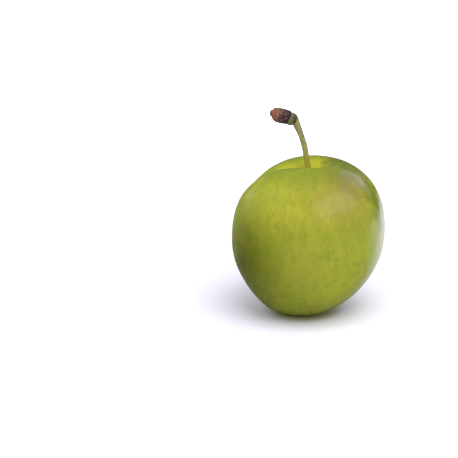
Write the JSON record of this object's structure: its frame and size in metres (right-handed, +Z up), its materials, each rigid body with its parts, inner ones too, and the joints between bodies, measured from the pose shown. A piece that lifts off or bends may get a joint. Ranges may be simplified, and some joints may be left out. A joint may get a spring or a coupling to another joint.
{
  "type": "plum",
  "caption": "Round green plum of the greengage kind, with a stem hollow, a seam down one side, and a bent stalk that ends in a scaly piece of its spur.",
  "frame": {"origin": "bottom centre of the part's box, on the surface that the plum rests on", "axes": "+Z up along the stalk's side of the fruit, -X towards the seam and the bent stalk's end, -Y towards the viewer"},
  "size_m": [0.0414, 0.0408, 0.0569],
  "materials": {
    "skin": "smooth waxy yellow-green fruit skin, softly glossy, with faint streaks and a thin bloom",
    "stalk": "fresh olive-green stalk, satin, faintly ridged",
    "collar": "matte grey-green stalk joint",
    "bark": "matte red-brown bud scales with pale flecks"
  },
  "bodies": {
    "root": {"fruit": "skin", "stalk": "stalk", "collar": "collar", "spur": "bark"}
  },
  "joints": []
}
